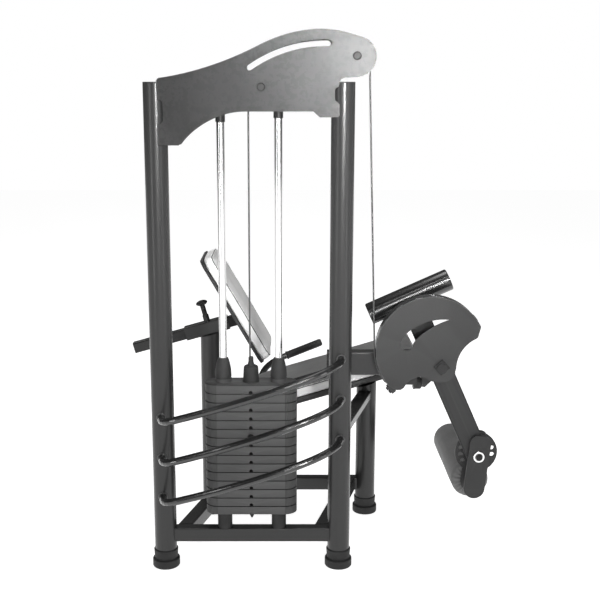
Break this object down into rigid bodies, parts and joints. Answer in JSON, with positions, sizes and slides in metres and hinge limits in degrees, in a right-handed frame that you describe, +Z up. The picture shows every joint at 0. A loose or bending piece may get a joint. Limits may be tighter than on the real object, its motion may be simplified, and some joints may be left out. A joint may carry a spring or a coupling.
{
  "type": "seated leg extension machine",
  "caption": "Selectorised leg machine: weight tower with guard rails, cam and lever with a foam roller, tilted seat, sliding backrest and side handles.",
  "frame": {"origin": "on the floor, in the middle of the machine's bounding box", "axes": "+Z up; the sitter faces +X; the weight tower is on the -Y side"},
  "size_m": [1.338, 0.8915, 1.811],
  "materials": {
    "powder_coat": "satin fine-textured powder coat",
    "gloss_coat": "gloss",
    "chrome": "polished",
    "cast_iron": "matte painted",
    "rubber": "matte",
    "black_plastic": "satin",
    "cable_sheath": "satin nylon sheath over steel",
    "foam": "matte vinyl over foam",
    "pale_vinyl": "satin vinyl",
    "board": "grained"
  },
  "bodies": {
    "frame": {"upright_left": "powder_coat", "upright_right": "powder_coat", "upright_caps": "rubber", "rear_post": "powder_coat", "rear_leg": "powder_coat", "front_rail": "powder_coat", "back_rail": "powder_coat", "side_rails": "powder_coat", "upper_brace": "powder_coat", "foot_cups": "rubber", "crown_plate_front": "powder_coat", "crown_plate_rear": "powder_coat", "rod_top_bar": "powder_coat", "guide_rods": "chrome", "rod_collars": "black_plastic", "bumpers": "rubber", "guard_rail_low": "gloss_coat", "guard_rail_middle": "gloss_coat", "guard_rail_high": "gloss_coat", "pulley_axles": "black_plastic", "resting_plates": "cast_iron", "stack_cable": "cable_sheath", "upper_cable": "cable_sheath", "pivot_beam": "powder_coat", "bearing_housing": "powder_coat", "pivot_bearings": "chrome", "stop_bumper": "rubber", "seat_beam": "powder_coat", "seat_board": "board", "seat_pad": "pale_vinyl", "slide_sleeve": "powder_coat", "handle_tubes": "gloss_coat", "handle_grips": "rubber"},
    "stack": {"top_plate": "cast_iron", "lifted_plates": "cast_iron", "selector_stem": "cast_iron", "cable_collar": "cast_iron", "rod_bushings": "cast_iron"},
    "selector_pin": {"selector_pin": "black_plastic"},
    "pulley_centre": {"pulley_centre": "black_plastic"},
    "pulley_nose": {"pulley_nose": "black_plastic"},
    "lever": {"rim_cable": "cable_sheath", "cable_clamp": "powder_coat", "cam_plate": "powder_coat", "cam_rim": "powder_coat", "cam_boss": "powder_coat", "pivot_shaft": "chrome", "hub_clamp": "powder_coat", "lever_bar": "powder_coat", "counterweight": "gloss_coat", "adjust_disc": "powder_coat"},
    "link": {"link_plates": "powder_coat", "link_bolt": "chrome", "roller_axle": "chrome"},
    "roller": {"roller_foam": "foam"},
    "link_pin": {"link_pin": "black_plastic"},
    "backrest": {"backrest_board": "board", "backrest_pad": "pale_vinyl", "slide_tube": "powder_coat"},
    "slide_pin": {"slide_pin": "black_plastic"}
  },
  "joints": [
    {"name": "lever_swing", "type": "hinge", "parent": "frame", "child": "lever", "pos_m": [0.43414, -0.14525, 0.716], "axis": [0, -1, 0], "range_deg": [0, 68], "deforming": ["upper_cable"]},
    {"name": "stack_lift", "type": "slide", "parent": "frame", "child": "stack", "axis": [0, 0, 1], "range_m": [0, 0.3], "deforming": ["stack_cable"]},
    {"name": "selector_pin_pull", "type": "slide", "parent": "stack", "child": "selector_pin", "axis": [0, -1, 0], "range_m": [0, 0.055]},
    {"name": "pulley_centre_spin", "type": "hinge", "parent": "frame", "child": "pulley_centre", "pos_m": [-0.16386, -0.27025, 1.634], "axis": [0, 1, 0], "range_deg": [0, 397.7]},
    {"name": "pulley_nose_spin", "type": "hinge", "parent": "frame", "child": "pulley_nose", "pos_m": [0.13714, -0.27025, 1.729], "axis": [0, 1, 0], "range_deg": [0, 397.7]},
    {"name": "link_adjust", "type": "hinge", "parent": "lever", "child": "link", "pos_m": [0.59401, -0.14525, 0.36027], "axis": [0, -1, 0], "range_deg": [-49.6, 49.6]},
    {"name": "roller_spin", "type": "hinge", "parent": "link", "child": "roller", "pos_m": [0.58201, 0.13175, 0.24227], "axis": [0, 1, 0], "continuous": true},
    {"name": "link_pin_pull", "type": "slide", "parent": "link", "child": "link_pin", "axis": [0, 1, 0], "range_m": [-0.008, 0]},
    {"name": "backrest_slide", "type": "slide", "parent": "frame", "child": "backrest", "axis": [0.9627, 0, 0.2706], "range_m": [-0.03, 0.14]},
    {"name": "slide_pin_pull", "type": "slide", "parent": "frame", "child": "slide_pin", "axis": [-0.2706, 0, 0.9627], "range_m": [0, 0.012], "stiffness_N_per_m": 500}
  ],
  "couplings": [
    {"joint": "stack_lift", "follows": "lever_swing", "m_per_rad": 0.245},
    {"joint": "pulley_centre_spin", "follows": "lever_swing", "ratio": 5.8333},
    {"joint": "pulley_nose_spin", "follows": "lever_swing", "ratio": 5.8333}
  ]
}
